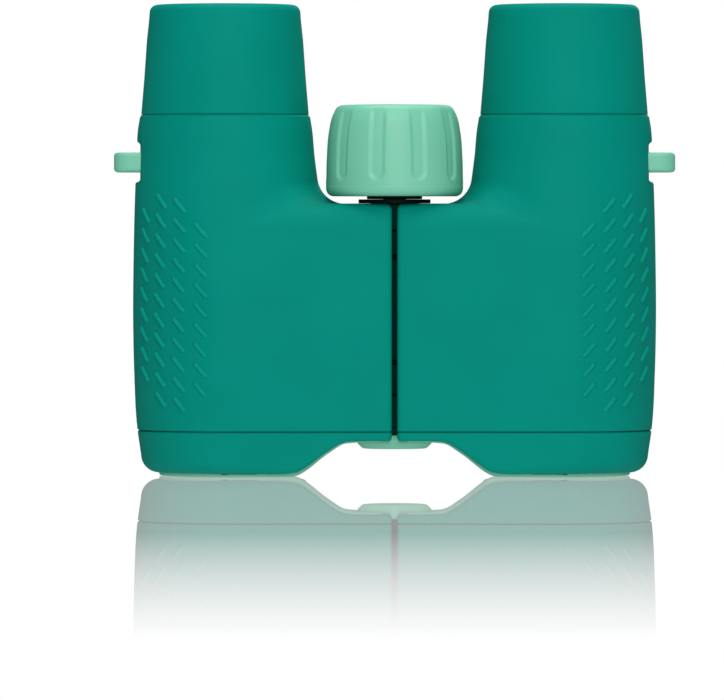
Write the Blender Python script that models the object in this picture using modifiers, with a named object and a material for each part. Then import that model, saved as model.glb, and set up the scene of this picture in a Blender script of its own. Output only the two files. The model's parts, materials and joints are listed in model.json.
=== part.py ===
"""Hand-held roof-prism binoculars, standing on their objective end.

The two halves swing on one central hinge.  A focus wheel on the hinge axis
drives a spool up and down a spindle, and the spool carries the focusing cells
of both barrels.  The right eyecup turns to set the dioptre correction.

Frame: +Z up towards the eyepieces, +X to the right half, -Y to the top side
of the casing, origin at the middle of the base.  Lengths in this file are
in millimetres, and the helpers turn them into metres.
"""

import math

import bmesh
import bpy
import numpy as np
from mathutils import Matrix

MM = 0.001
SIDES = {"left": -1, "right": 1}

# Driving dimensions
AXIS_X = 32.6  # optical axis from the hinge plane
HINGE_Y = -5.0  # hinge axis, towards the top side of the casing
FOLD_DEG = 60.0  # swing of the right half
TOTAL_HEIGHT = 90.4
LUG_REACH = 53.9  # tip of a strap lug from the hinge plane

# Rubber casing: height, barrel centre, half width, half depth
BARREL = (
    (0.3, 32.6, 13.3, 13.3),
    (0.9, 32.6, 14.3, 14.3),
    (2.0, 32.6, 15.4, 15.4),
    (3.6, 32.6, 16.1, 16.1),
    (6.0, 32.5, 16.4, 16.5),
    (9.0, 32.3, 17.0, 17.3),
    (20.0, 31.7, 18.1, 18.8),
    (30.0, 31.4, 18.7, 19.4),
    (42.0, 31.5, 18.4, 19.2),
    (53.0, 32.1, 17.6, 18.2),
    (61.6, 32.5, 16.8, 17.0),
    (69.0, 32.6, 16.3, 16.3),
)
# Bridge between barrel and hinge: height, front face at the gap, front face at its root
BRIDGE = (
    (1.4, 13.3, 13.3),
    (2.7, 14.7, 14.7),
    (4.4, 15.5, 15.6),
    (6.4, 16.1, 16.2),
    (9.4, 16.6, 16.9),
    (20.0, 17.4, 18.3),
    (30.0, 17.7, 18.95),
    (42.0, 17.5, 18.7),
    (47.0, 17.2, 18.3),
    (49.8, 16.2, 17.3),
    (51.4, 14.6, 15.7),
    (52.2, 12.7, 13.7),
)
BRIDGE_ROOT = 28.0  # where the bridge starts inside the barrel
BRIDGE_BACK = 2.6
HALF_GAP = 0.5  # half the slit between the halves
RUBBER = 1.6
FIT = 0.3  # gap between a piece and its neighbour
SEAM_TOP = 69.0
SEAM_LOW = 9.2
BRIDGE_TOP = 52.2
BUMPER_TOP = 8.6
BUMPER_MOUTH = 12.9
BUMPER_BORE = 14.0
BUMPER_STEP = 2.2
BASE_SLOPE = ((24.0, -0.5), (18.6, 0.9), (12.2, 5.3), (10.4, 6.4), (8.9, 6.85), (-2.0, 6.85))
COVER_PROUD = 0.3  # how far the front cover stands below the bumper
LIP_INSET = 0.5  # the lip that forms the floor of each seam
LIP_HEIGHT = 0.35
ARC_STEPS = 8  # of the casing's hollow side, round the hinge

# Strap lugs
LUG_BAND = (58.2, 62.0)
LUG_ROOT = 44.0  # inner end, let into the casing
LUG_HALF_WIDTH = 5.4
LUG_CORNER = 3.2
LUG_SEAT_R = 15.4
LUG_SLOT = (50.7, 51.0, 2.4)  # centres of the slot's corners: inner and outer u, and y
LUG_SLOT_R = 1.2
LUG_FLAT_U = 48.5  # the casing's side is cut flat here
LUG_FLAT_MARGIN = (1.7, 1.9)
LUG_FLAT_HALF = 9.0

# Hinge
KNUCKLE_R = 6.5
KNUCKLE_ROOM = 7.0
CASING_ROOM = 7.3
CAP_ROOM = 7.8
PIN_R = 2.8
TUBE_R = 4.6
SPINDLE_R = 2.2
LEFT_KNUCKLES = ((9.4, 15.4), (22.4, 41.4), (47.2, 51.8))
RIGHT_KNUCKLES = ((15.8, 21.4), (42.4, 46.8))
CHAMBER = (25.4, 40.2)  # room for the spool inside the middle knuckle
CHAMBER_R = 5.6
POCKET_ROOM = 5.0  # the casing's hollow is open to the hinge
WASHER_R = 6.3
WINDOW_REACH = 10.0

# Optics
BORE_R = 13.3
CELL_R = 13.0  # outside of the cells that sit in the barrel's bore
FOCUS_CELL_R = 12.9
OBJECTIVE_R = 11.6
FOCUSING_R = 11.2
EYE_LENS_R = 9.1
PRISM_WIDTH = 10.6
PRISM_BASE = 45.0
PRISM_POCKET = (-11.1, 10.9)
HOLDER_BAND = (43.4, 61.4)
LEFT_ARM_Z = 31.5
RIGHT_ARM_Z = 35.5
ARM_THICK = 1.6
ARM_WIDTH = 4.5
ARM_RING = (3.9, 5.2)  # the arm's end in the spool's groove
FOCUS_TRAVEL = 1.6

# Focus wheel
FLUTES = 10
FLUTE_PHASE_DEG = 3.0
FLUTE_R = 2.5
FLUTE_CENTRE = (15.0, 64.0)  # radius and height of a flute's middle
FLUTE_BAND = (-7.0, 9.0)
FLUTE_LEAN = math.atan2(1.1, 13.0)
WHEEL_STEPS = 30

STEPS_FINE = 24
STEPS = 20
STEPS_INNER = 12

MATERIALS = {  # base colour, roughness, metallic
    "rubber": ((0.0, 0.25, 0.19, 1.0), 0.6, 0.0),
    "mint": ((0.25, 0.64, 0.47, 1.0), 0.45, 0.0),
    "black": ((0.012, 0.012, 0.012, 1.0), 0.5, 0.0),
    "glass": ((0.75, 0.85, 0.86, 1.0), 0.05, 0.0),
    "steel": ((0.5, 0.5, 0.5, 1.0), 0.3, 1.0),
    "brass": ((0.7, 0.5, 0.2, 1.0), 0.3, 1.0),
}


def clear_scene():
    for old in list(bpy.data.objects):
        bpy.data.objects.remove(old)


def make_collection(name):
    collection = bpy.data.collections.new(name)
    bpy.context.scene.collection.children.link(collection)
    return collection


def make_material(name, finish):
    colour, roughness, metallic = MATERIALS[finish]
    material = bpy.data.materials.new(name)
    material.use_nodes = True
    shader = material.node_tree.nodes["Principled BSDF"]
    shader.inputs["Base Color"].default_value = colour
    shader.inputs["Roughness"].default_value = roughness
    shader.inputs["Metallic"].default_value = metallic
    material.diffuse_color = colour
    return material


def new_object(name, mesh):
    """An object in the cutters' collection; keep() moves a finished part out of it."""
    obj = bpy.data.objects.new(name, mesh)
    CUTTERS.objects.link(obj)
    obj.hide_render = True
    obj.display_type = "WIRE"
    return obj


def from_bmesh(name, bm):
    bmesh.ops.recalc_face_normals(bm, faces=bm.faces)
    mesh = bpy.data.meshes.new(name)
    bm.to_mesh(mesh)
    bm.free()
    return new_object(name, mesh)


def turned(name, profile, centre=(0.0, 0.0), steps=STEPS_INNER):
    """A solid turned about Z.  profile is (radius, height); a loop off the axis is a ring."""
    points = list(profile)
    ring = min(r for r, _ in points) > 0.0
    following = points[1:] + points[:1]
    area = sum(a[0] * b[1] - b[0] * a[1] for a, b in zip(points, following))
    if area > 0:  # down the outer side, so clockwise
        points.reverse()
    if not ring:  # start at the upper point on the axis and end at the lower one
        on_axis = [i for i, (r, _) in enumerate(points) if r == 0.0]
        top = max(on_axis, key=lambda i: points[i][1])
        points = points[top:] + points[:top]
    count = len(points)
    edges = [(i, i + 1) for i in range(count - 1)]
    if ring:
        edges.append((count - 1, 0))
    mesh = bpy.data.meshes.new(name)
    mesh.from_pydata([(r * MM, 0.0, z * MM) for r, z in points], edges, [])
    obj = new_object(name, mesh)
    obj.location = (centre[0] * MM, centre[1] * MM, 0.0)
    screw = obj.modifiers.new("Turn", "SCREW")
    screw.steps = steps
    screw.render_steps = steps
    screw.use_merge_vertices = True
    screw.merge_threshold = 0.00001
    return obj


def tube(name, inner, outer, low, high, centre=(0.0, 0.0), steps=STEPS_INNER):
    profile = [(inner, high), (outer, high), (outer, low), (inner, low)]
    return turned(name, profile, centre, steps)


def rod(name, radius, low, high, centre=(0.0, 0.0), steps=STEPS_INNER):
    bm = bmesh.new()
    bmesh.ops.create_cone(
        bm, cap_ends=True, segments=steps, radius1=radius * MM, radius2=radius * MM, depth=(high - low) * MM
    )
    middle = (centre[0] * MM, centre[1] * MM, (low + high) / 2 * MM)
    bmesh.ops.translate(bm, verts=bm.verts, vec=middle)
    return from_bmesh(name, bm)


def block(name, side, u_range, y_range, z_range):
    """A box whose first range is the distance from the hinge plane on that side."""
    bm = bmesh.new()
    bmesh.ops.create_cube(bm, size=1.0)
    spans = [high - low for low, high in (u_range, y_range, z_range)]
    middle = [(high + low) / 2 for low, high in (u_range, y_range, z_range)]
    bmesh.ops.scale(bm, verts=bm.verts, vec=[span * MM for span in spans])
    bmesh.ops.translate(bm, verts=bm.verts, vec=(side * middle[0] * MM, middle[1] * MM, middle[2] * MM))
    return from_bmesh(name, bm)


def plate(name, outline, low, high, upright=False):
    """A filled outline, extruded.  It lies in XY from low to high, or upright in XZ along Y."""
    curve = bpy.data.curves.new(name, "CURVE")
    curve.dimensions = "2D"
    curve.fill_mode = "BOTH"
    curve.extrude = (high - low) / 2 * MM
    spline = curve.splines.new("POLY")
    spline.points.add(len(outline) - 1)
    for point, (a, b) in zip(spline.points, outline):
        point.co = (a * MM, b * MM, 0.0, 1.0)
    spline.use_cyclic_u = True
    guide = new_object(name + "_outline", curve)
    middle = (low + high) / 2 * MM
    if upright:
        guide.matrix_world = Matrix.Translation((0.0, middle, 0.0)) @ Matrix.Rotation(math.pi / 2, 4, "X")
    else:
        guide.matrix_world = Matrix.Translation((0.0, 0.0, middle))
    bpy.context.view_layer.update()
    mesh = bpy.data.meshes.new_from_object(guide.evaluated_get(bpy.context.evaluated_depsgraph_get()))
    matrix = guide.matrix_world.copy()
    bpy.data.objects.remove(guide)
    bm = bmesh.new()
    bm.from_mesh(mesh)
    bmesh.ops.remove_doubles(bm, verts=bm.verts, dist=0.000001)
    bpy.data.meshes.remove(mesh)
    obj = from_bmesh(name, bm)
    obj.matrix_world = matrix
    return obj


def loft(name, rings):
    """A closed skin through rings of equally many points, with flat ends."""
    bm = bmesh.new()
    loops = [[bm.verts.new([c * MM for c in point]) for point in ring] for ring in rings]
    for lower, upper in zip(loops, loops[1:]):
        for i in range(len(lower)):
            j = (i + 1) % len(lower)
            bm.faces.new((lower[i], lower[j], upper[j], upper[i]))
    bm.faces.new(list(reversed(loops[0])))
    bm.faces.new(loops[-1])
    return from_bmesh(name, bm)


def ring_loft(name, rings):
    """A closed skin whose last ring meets the first, as round a sleeve's wall."""
    bm = bmesh.new()
    loops = [[bm.verts.new([c * MM for c in point]) for point in ring] for ring in rings]
    for lower, upper in zip(loops, loops[1:] + loops[:1]):
        for i in range(len(lower)):
            j = (i + 1) % len(lower)
            bm.faces.new((lower[i], lower[j], upper[j], upper[i]))
    return from_bmesh(name, bm)


def boolean(obj, operation, others):
    for other in others:
        modifier = obj.modifiers.new(other.name, "BOOLEAN")
        modifier.operation = operation
        modifier.solver = "EXACT"
        modifier.object = other


def cut(obj, *others):
    boolean(obj, "DIFFERENCE", others)


def join(obj, *others):
    boolean(obj, "UNION", others)


def keep(obj, finish, name=None, origin=None):
    """Fix the evaluated shape as a named part, shaded and coloured, with its origin on its axis."""
    bpy.context.view_layer.update()
    mesh = bpy.data.meshes.new_from_object(obj.evaluated_get(bpy.context.evaluated_depsgraph_get()))
    mesh.transform(obj.matrix_world)
    place = Matrix.Identity(4)
    if origin is not None:
        place = Matrix.Translation([c * MM for c in origin])
    mesh.transform(place.inverted())
    mesh.shade_smooth()
    mesh.set_sharp_from_angle(angle=math.radians(35))
    obj.modifiers.clear()
    obj.data = mesh
    obj.matrix_world = place
    obj.name = name or obj.name
    mesh.name = obj.name
    mesh.materials.clear()
    mesh.materials.append(make_material(obj.name, finish))
    CUTTERS.objects.unlink(obj)
    PARTS.objects.link(obj)
    obj.hide_render = False
    obj.display_type = "TEXTURED"
    return obj


def station(table, z, column):
    return float(np.interp(z, [row[0] for row in table], [row[column] for row in table]))


def barrel_ring(side, z, inset):
    centre, width, depth = (station(BARREL, z, column) for column in (1, 2, 3))
    ring = []
    for i in range(STEPS_FINE):
        angle = 2 * math.pi * i / STEPS_FINE
        x = side * centre + (width - inset) * math.cos(angle)
        ring.append((x, (depth - inset) * math.sin(angle), z))
    return ring


def barrel_loft(name, side, low, high, inset=0.0, lip=False):
    """The barrel's skin, drawn in by inset, between two heights; a lip stands on its top."""
    heights = [low] + [row[0] for row in BARREL if low < row[0] < high] + [high]
    rings = [barrel_ring(side, z, inset) for z in heights]
    if lip:
        step = barrel_ring(side, high, LIP_INSET)
        rings += [step, [(x, y, z + LIP_HEIGHT) for x, y, z in step]]
    return loft(name, rings)


def bridge_outline(z, inset, room):
    """The bridge's section: front face, gap face, arc round the hinge, back face; for +X."""
    gap = HALF_GAP + inset
    arc_front = math.sqrt(room**2 - gap**2) - HINGE_Y
    front_gap = max(station(BRIDGE, z, 1) - inset, arc_front + 0.2)
    front_root = max(station(BRIDGE, z, 2) - inset, arc_front + 0.2)
    lean = math.radians(FOLD_DEG / 2 + 2)  # the back of the gap, cut away for the fold
    start = -math.acos(gap / room)
    end = math.pi / 2 - lean - inset / room
    root = BRIDGE_ROOT - inset
    points = [(root, -front_root), (gap, -front_gap)]
    for i in range(ARC_STEPS + 1):
        angle = start + (end - start) * i / ARC_STEPS
        points.append((room * math.cos(angle), HINGE_Y + room * math.sin(angle)))
    back = BRIDGE_BACK - inset
    last_x, last_y = points[-1]
    points.append((last_x + (back - last_y) * math.tan(lean), back))
    points.append((root, back))
    return points


def bridge_loft(name, side, low, high, inset=0.0, room=CASING_ROOM, lip=False):
    heights = [low] + [row[0] for row in BRIDGE if low < row[0] < high] + [high]
    rings = []
    for z in heights:
        shape_z = min(z + inset, BRIDGE_TOP)
        rings.append([(side * u, y, z) for u, y in bridge_outline(shape_z, inset, room)])
    if lip:
        step = [(side * u, y) for u, y in bridge_outline(high, LIP_INSET, room + LIP_INSET)]
        rings += [[(x, y, z) for x, y in step] for z in (high, high + LIP_HEIGHT)]
    return loft(name, rings)


def slope_cutter(name, side, drop=0.0):
    """What is cut from under the bridge: a slope from the barrel, then a level stretch."""
    outline = [(side * u, z - drop) for u, z in BASE_SLOPE]
    outline += [(side * -2.0, -6.0), (side * 24.0, -6.0)]
    return plate(name, outline, -25.0, 25.0, upright=True)


def main_armour(label, side):
    armour = barrel_loft(f"{label}_main_armour", side, SEAM_LOW, SEAM_TOP, lip=True)
    bridge = bridge_loft(f"{label}_armour_bridge", side, SEAM_LOW, BRIDGE_TOP)
    join(armour, bridge)
    barrel_room = barrel_loft(f"{label}_armour_bore", side, SEAM_LOW - 1, SEAM_TOP + 1.5, RUBBER)
    pocket_top = BRIDGE_TOP - RUBBER
    bridge_room = bridge_loft(f"{label}_armour_pocket", side, SEAM_LOW - 1, pocket_top, RUBBER, POCKET_ROOM)
    low, high = LUG_BAND
    flat_z = (low - LUG_FLAT_MARGIN[0], high + LUG_FLAT_MARGIN[1])
    lug_flat = block(f"{label}_lug_flat", side, (LUG_FLAT_U, 60.0), (-LUG_FLAT_HALF, LUG_FLAT_HALF), flat_z)
    hole_half = LUG_HALF_WIDTH + FIT
    lug_hole = block(f"{label}_lug_hole", side, (40.0, 60.0), (-hole_half, hole_half), (low - FIT, high + FIT))
    cut(armour, barrel_room, bridge_room, lug_flat, lug_hole)
    return keep(armour, "rubber")


def round_ring(side, radius, z):
    """A ring round the optical axis whose points face those of barrel_ring."""
    ring = []
    for i in range(STEPS_FINE):
        angle = 2 * math.pi * i / STEPS_FINE
        ring.append((side * AXIS_X + radius * math.cos(angle), radius * math.sin(angle), z))
    return ring


def front_armour(label, side):
    heights = [row[0] for row in BARREL if row[0] < BUMPER_TOP] + [BUMPER_TOP]
    rings = [barrel_ring(side, z, 0.0) for z in heights]
    rings += [barrel_ring(side, BUMPER_TOP, LIP_INSET)]
    lip_top = BUMPER_TOP + LIP_HEIGHT
    rings += [[(x, y, lip_top) for x, y, _ in rings[-1]]]
    rings += [round_ring(side, BUMPER_BORE, lip_top), round_ring(side, BUMPER_BORE, BUMPER_STEP)]
    rings += [round_ring(side, BUMPER_MOUTH, BUMPER_STEP), round_ring(side, BUMPER_MOUTH, heights[0])]
    bumper = ring_loft(f"{label}_front_armour", rings)
    bridge = bridge_loft(f"{label}_bumper_bridge", side, BRIDGE[0][0], BUMPER_TOP, room=CAP_ROOM, lip=True)
    pocket = bridge_loft(f"{label}_bumper_pocket", side, 0.0, 10.0, RUBBER, POCKET_ROOM)
    bore = rod(f"{label}_bumper_bore", BUMPER_BORE + 0.4, -1.0, 12.0, (side * AXIS_X, 0.0), STEPS_FINE)
    cut(bridge, slope_cutter(f"{label}_bumper_slope", side), bore)
    join(bumper, bridge)
    cut(bumper, pocket)
    return keep(bumper, "rubber")


def front_cover(label, side):
    centre = (side * AXIS_X, 0.0)
    rim = [(12.6, 2.4), (12.6, 0.2), (12.4, 0.0), (11.4, 0.0), (11.2, 0.2), (11.2, 2.2)]
    profile = [(12.8, 2.2), (12.8, 8.6), (13.7, 8.6), (13.7, 2.4)] + rim
    cover = turned(f"{label}_front_cover", profile, centre, STEPS_FINE)
    foot = bridge_loft(f"{label}_cover_foot", side, 0.9, 8.3, RUBBER + FIT, CAP_ROOM)
    cut(foot, slope_cutter(f"{label}_cover_slope", side, COVER_PROUD))
    room = [(0.0, 12.0), (13.2, 12.0), (13.2, 1.8), (12.1, 1.8), (12.1, -1.0), (0.0, -1.0)]
    cut(foot, turned(f"{label}_cover_room", room, centre, STEPS_FINE))
    join(cover, foot)
    return keep(cover, "mint")


def knuckle_web(name, side, band):
    top = min(band[1] - 0.1, BRIDGE_TOP - RUBBER - 2 * FIT)
    return block(name, side, (2.0, 9.0), (HINGE_Y - 4.0, HINGE_Y + 4.0), (band[0] + 0.1, top))


def hinge_bore(label, band):
    """The bore through one knuckle: the pin's below the chamber, the tube's above it."""
    low, high = band
    name = f"{label}_bore_{low:.0f}"
    centre = (0.0, HINGE_Y)
    if high < CHAMBER[0]:
        return [rod(name, PIN_R + FIT, low - 0.1, high + 0.1, centre)]
    if low > CHAMBER[1]:
        return [rod(name, TUBE_R + FIT, low - 0.1, high + 0.1, centre)]
    return [
        rod(name, CHAMBER_R, CHAMBER[0], CHAMBER[1], centre),
        rod(name + "_foot", SPINDLE_R + FIT, low - 0.1, CHAMBER[0] + 0.1, centre),
        rod(name + "_head", TUBE_R + FIT, CHAMBER[1] - 0.1, high + 0.1, centre),
    ]


def arm_window(name, side, arm_z, swing_deg):
    """The opening that lets a focus arm out of the middle knuckle and swing with its half."""
    half_height = ARM_THICK / 2 + FOCUS_TRAVEL + FIT
    half_angle = math.asin((ARM_WIDTH / 2 + FIT) / CHAMBER_R)
    start = -half_angle
    end = math.radians(swing_deg) + half_angle
    outline = [(0.0, HINGE_Y)]
    steps = 6
    for i in range(steps + 1):
        angle = start + (end - start) * i / steps
        outline.append((side * WINDOW_REACH * math.cos(angle), HINGE_Y + WINDOW_REACH * math.sin(angle)))
    return plate(name, outline, arm_z - half_height, arm_z + half_height)


def chassis(label, side, knuckles, arm_z):
    shell = RUBBER + FIT
    frame = barrel_loft(f"{label}_chassis", side, SEAM_LOW + 0.1, SEAM_TOP - FIT, shell)
    bridge_high = BRIDGE_TOP - shell - 0.6
    bridge = bridge_loft(f"{label}_chassis_bridge", side, SEAM_LOW + 0.1, bridge_high, shell, KNUCKLE_ROOM)
    join(frame, bridge)
    for low, high in knuckles:
        ring = rod(f"{label}_knuckle_{low:.0f}", KNUCKLE_R, low, high, (0.0, HINGE_Y), STEPS)
        join(frame, ring, knuckle_web(f"{label}_web_{low:.0f}", side, (low, high)))
    cut(frame, rod(f"{label}_barrel_bore", BORE_R, 0.0, 80.0, (side * AXIS_X, 0.0), STEPS))
    cut(frame, block(f"{label}_bridge_pocket", side, (9.6, 17.0), (-14.2, -1.0), (5.0, 48.5)))
    for band in knuckles:
        cut(frame, *hinge_bore(label, band))
    half_height = ARM_THICK / 2 + FOCUS_TRAVEL + FIT
    half_width = ARM_WIDTH / 2 + FIT
    slot_start = 0.0 if side < 0 else KNUCKLE_R
    slot = block(
        f"{label}_arm_slot",
        side,
        (slot_start, 26.0),
        (HINGE_Y - half_width, HINGE_Y + half_width),
        (arm_z - half_height, arm_z + half_height),
    )
    cut(frame, slot)
    if side < 0:
        cut(frame, arm_window("swing_window", 1, RIGHT_ARM_Z, FOLD_DEG))
    return keep(frame, "black")


def rounded_corner(centre, radius, start_deg, end_deg, steps=4):
    points = []
    for i in range(steps + 1):
        angle = math.radians(start_deg + (end_deg - start_deg) * i / steps)
        points.append((centre[0] + radius * math.cos(angle), centre[1] + radius * math.sin(angle)))
    return points


def strap_lug(label, side):
    half_width, corner = LUG_HALF_WIDTH, LUG_CORNER
    outline = [(LUG_ROOT, -half_width)]
    outline += rounded_corner((LUG_REACH - corner, corner - half_width), corner, -90, 0)
    outline += rounded_corner((LUG_REACH - corner, half_width - corner), corner, 0, 90)
    outline.append((LUG_ROOT, half_width))
    lug = plate(f"{label}_strap_lug", [(side * u, y) for u, y in outline], *LUG_BAND)
    near, far, y = LUG_SLOT
    slot_outline = []
    for centre, start in (((far, y), 0), ((near, y), 90), ((near, -y), 180), ((far, -y), 270)):
        slot_outline += rounded_corner(centre, LUG_SLOT_R, start, start + 90, 3)
    low, high = LUG_BAND
    slot = plate(f"{label}_lug_slot", [(side * u, y) for u, y in slot_outline], low - 2.0, high + 2.0)
    seat = rod(f"{label}_lug_seat", LUG_SEAT_R, low - 1.0, high + 2.0, (side * 32.4, 0.0), STEPS)
    cut(lug, slot, seat)
    return keep(lug, "mint")


def lens(name, radius, low, high, crown_low, crown_high, centre):
    """A lens between two heights at its rim; each crown is how far that face bulges out."""
    steps = 2
    profile = [(0.0, high + crown_high)]
    for i in range(1, steps + 1):
        share = i / steps
        profile.append((radius * share, high + crown_high * (1 - share**2)))
    for i in range(steps, 0, -1):
        share = i / steps
        profile.append((radius * share, low - crown_low * (1 - share**2)))
    profile.append((0.0, low - crown_low))
    return keep(turned(name, profile, centre), "glass", origin=(*centre, 0.0))


def objective(label, side):
    centre = (side * AXIS_X, 0.0)
    origin = (*centre, 0.0)
    inner = [(11.1, 2.5), (11.1, 3.5), (11.9, 3.5), (11.9, 16.0)]
    outer = [(CELL_R, 16.0), (CELL_R, 9.2), (12.5, 9.2), (12.5, 2.5)]
    keep(turned(f"{label}_objective_cell", inner + outer, centre), "black", origin=origin)
    lens(f"{label}_objective_crown", OBJECTIVE_R, 4.5, 6.6, 0.6, 1.0, centre)
    lens(f"{label}_objective_flint", OBJECTIVE_R, 7.0, 9.4, -1.0, 0.2, centre)
    keep(tube(f"{label}_objective_lock_ring", 10.4, OBJECTIVE_R, 9.9, 11.4, centre), "black", origin=origin)


def focusing_group(label, side, arm_z):
    centre = (side * AXIS_X, 0.0)
    origin = (*centre, 0.0)
    profile = [(10.2, 29.0), (10.2, 32.2), (11.5, 32.2), (11.5, 39.0)]
    profile += [(FOCUS_CELL_R, 39.0), (FOCUS_CELL_R, 29.0)]
    keep(turned(f"{label}_focusing_cell", profile, centre), "black", origin=origin)
    lens(f"{label}_focusing_lens", FOCUSING_R, 32.6, 36.6, -1.0, -0.8, centre)
    arm_range = (arm_z - ARM_THICK / 2, arm_z + ARM_THICK / 2)
    outline = []
    inner, outer = ARM_RING
    neck = math.degrees(math.asin(ARM_WIDTH / 2 / outer))
    outline += rounded_corner((0.0, HINGE_Y), outer, -90, -neck, 5)
    reach = AXIS_X - CELL_R
    outline += [(reach, HINGE_Y - ARM_WIDTH / 2), (reach, HINGE_Y + ARM_WIDTH / 2)]
    outline += rounded_corner((0.0, HINGE_Y), outer, neck, 90, 5)
    outline += rounded_corner((0.0, HINGE_Y), inner, 90, -90, 8)
    arm = plate(f"{label}_focus_arm", [(side * u, y) for u, y in outline], *arm_range)
    keep(arm, "black", origin=(0.0, HINGE_Y, 0.0))


def prisms(label, side):
    """A roof-prism pair: the half-penta prism below its air gap, the roof prism above."""
    centre = (side * AXIS_X, 0.0)
    origin = (*centre, 0.0)
    holder = rod(f"{label}_prism_holder", CELL_R, *HOLDER_BAND, centre)
    pocket_half = PRISM_WIDTH / 2 + FIT
    pocket_u = [AXIS_X + reach for reach in PRISM_POCKET]
    cut(holder, block(f"{label}_prism_pocket", side, pocket_u, (-pocket_half, pocket_half), (40.0, 65.0)))
    keep(holder, "black", origin=origin)
    half_penta = [(-5.5, 0.0), (5.5, 0.0), (10.3, 11.6), (8.6, 14.1)]
    roof = [(7.35, 13.45), (-10.55, 13.45), (-5.3, 0.79)]
    for kind, shape in (("half_penta_prism", half_penta), ("roof_prism", roof)):
        outline = [(side * (AXIS_X + u), PRISM_BASE + w) for u, w in shape]
        prism = plate(f"{label}_{kind}", outline, -PRISM_WIDTH / 2, PRISM_WIDTH / 2, upright=True)
        keep(prism, "glass", origin=origin)
    keep(tube(f"{label}_prism_plate", 7.5, CELL_R, 42.3, 43.1, centre), "steel", origin=origin)


def eyepiece(label, side):
    centre = (side * AXIS_X, 0.0)
    origin = (*centre, 0.0)
    keep(tube(f"{label}_eyepiece_sleeve", 11.9, CELL_R, 62.2, 78.8, centre, STEPS), "black", origin=origin)
    rim = [(9.4, 80.2), (8.3, 80.2), (8.3, 80.6), (9.2, 81.2), (10.8, 81.2), (11.6, 80.6)]
    cell = [(9.4, 63.6)] + rim + [(11.6, 63.6)]
    keep(turned(f"{label}_eyepiece_cell", cell, centre, STEPS), "black", origin=origin)
    lens(f"{label}_field_lens", EYE_LENS_R, 65.4, 67.0, 0.3, 1.5, centre)
    keep(tube(f"{label}_lens_spacer", 8.3, EYE_LENS_R, 69.0, 75.0, centre), "black", origin=origin)
    lens(f"{label}_eye_lens", EYE_LENS_R, 77.0, 79.4, 1.5, 0.8, centre)
    keep(tube(f"{label}_field_stop", 7.0, EYE_LENS_R, 63.8, 64.6, centre), "black", origin=origin)


def eyecup(label, side):
    centre = (side * AXIS_X, 0.0)
    low = SEAM_TOP + 0.6
    profile = [
        (12.9, TOTAL_HEIGHT),
        (13.7, TOTAL_HEIGHT - 0.1),
        (14.3, TOTAL_HEIGHT - 0.7),
        (14.5, TOTAL_HEIGHT - 1.9),
        (15.35, 75.6),
        (16.1, low),
        (13.35, low),
        (13.35, 79.1),
        (12.0, 80.0),
        (12.2, TOTAL_HEIGHT - 0.7),
    ]
    cup = turned(f"{label}_eyecup", profile, centre, STEPS_FINE)
    keep(cup, "rubber", origin=(*centre, 0.0))


def focus_wheel():
    outer = [
        (9.6, 71.1),
        (11.3, 70.4),
        (12.06, 68.9),
        (12.66, 65.9),
        (13.05, 61.0),
        (13.16, 54.8),
        (12.3, 53.6),
    ]
    inner = [(11.2, 53.6), (10.2, 65.9), (5.2, 65.9), (5.2, 54.5), (2.5, 54.5)]
    well = [(2.5, 66.5), (3.4, 66.5), (3.4, 69.2), (7.9, 69.2), (7.9, 71.1)]
    centre = (0.0, HINGE_Y)
    wheel = turned("focus_wheel", outer + inner + well, centre, WHEEL_STEPS)
    for i in range(FLUTES):
        angle = math.radians(-90 + FLUTE_PHASE_DEG + 360 / FLUTES * (i + 0.5))
        flute = rod(f"wheel_flute_{i}", FLUTE_R, *FLUTE_BAND)
        turn = Matrix.Rotation(angle, 4, "Z")
        out = Matrix.Translation((FLUTE_CENTRE[0] * MM, 0.0, 0.0)) @ Matrix.Rotation(-FLUTE_LEAN, 4, "Y")
        flute.matrix_world = Matrix.Translation((0.0, HINGE_Y * MM, FLUTE_CENTRE[1] * MM)) @ turn @ out
        cut(wheel, flute)
    keep(wheel, "mint", origin=(0.0, HINGE_Y, 0.0))


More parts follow.
